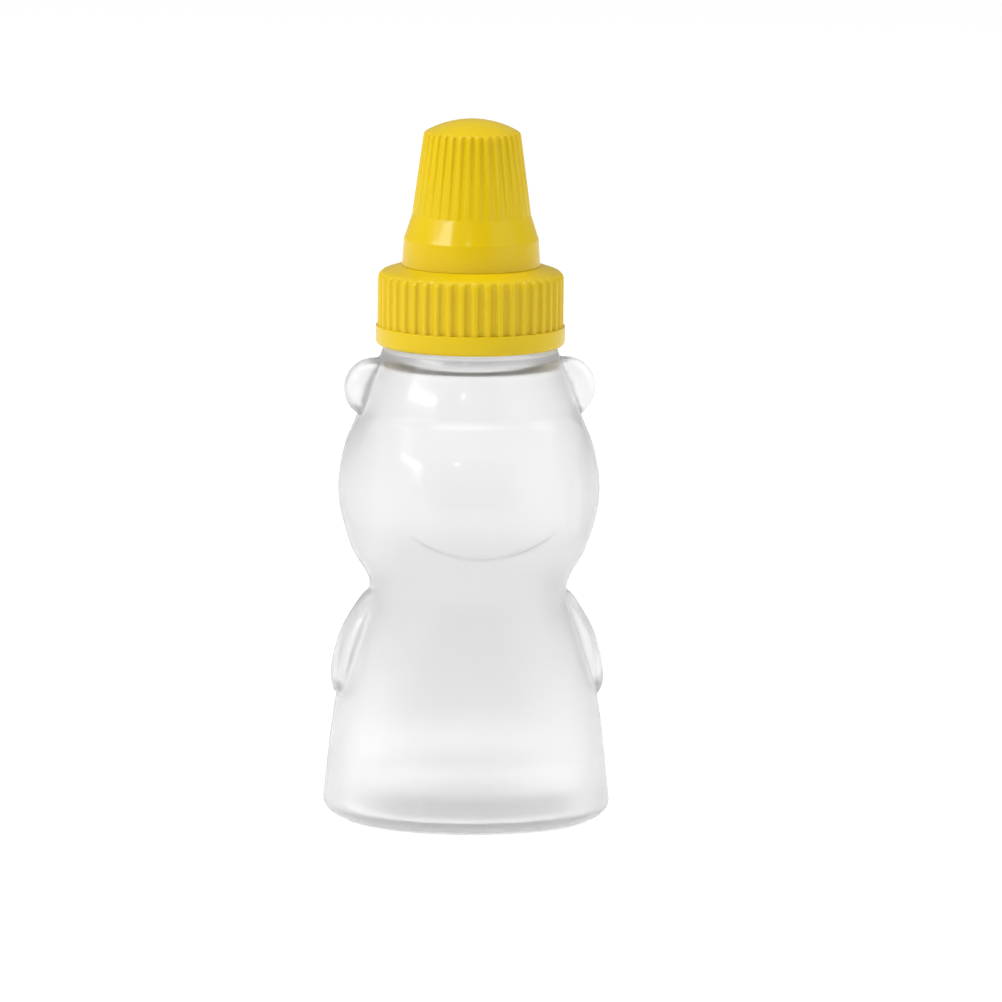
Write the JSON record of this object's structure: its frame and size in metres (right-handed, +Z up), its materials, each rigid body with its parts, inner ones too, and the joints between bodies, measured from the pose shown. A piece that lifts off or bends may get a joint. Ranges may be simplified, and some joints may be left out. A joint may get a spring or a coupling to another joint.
{
  "type": "bear-shaped squeeze bottle",
  "caption": "Small translucent squeeze bottle shaped as a sitting bear, with a ribbed screw closure, a tapered dispensing spout and a ribbed overcap.",
  "frame": {"origin": "centre of the standing surface, under the middle of the bottle's base", "axes": "+Z up along the neck's axis, the bear's face towards -Y, +X to the viewer's right when facing the face"},
  "size_m": [0.0318, 0.0316, 0.078],
  "materials": {
    "blown_body": "translucent milky polyethylene, satin",
    "liner": "soft white polyethylene foam",
    "cap_closure": "glossy yellow moulded polypropylene",
    "cap_overcap": "glossy yellow moulded polypropylene"
  },
  "bodies": {
    "bottle": {"bottle": "blown_body"},
    "seal_liner": {"seal_liner": "liner"},
    "closure": {"closure": "cap_closure"},
    "overcap": {"overcap": "cap_overcap"}
  },
  "joints": [
    {"name": "closure_rise", "type": "slide", "parent": "bottle", "child": "seal_liner", "axis": [0, 0, 1], "range_m": [0, 0.0076]},
    {"name": "closure_turn", "type": "hinge", "parent": "seal_liner", "child": "closure", "pos_m": [0, 0, 0.0604], "axis": [0, 0, 1], "range_deg": [0, 900]},
    {"name": "overcap_pull", "type": "slide", "parent": "closure", "child": "overcap", "axis": [0, 0, 1], "range_m": [0, 0.016]}
  ],
  "couplings": [
    {"joint": "closure_rise", "follows": "closure_turn", "m_per_rad": 0.00047746}
  ]
}
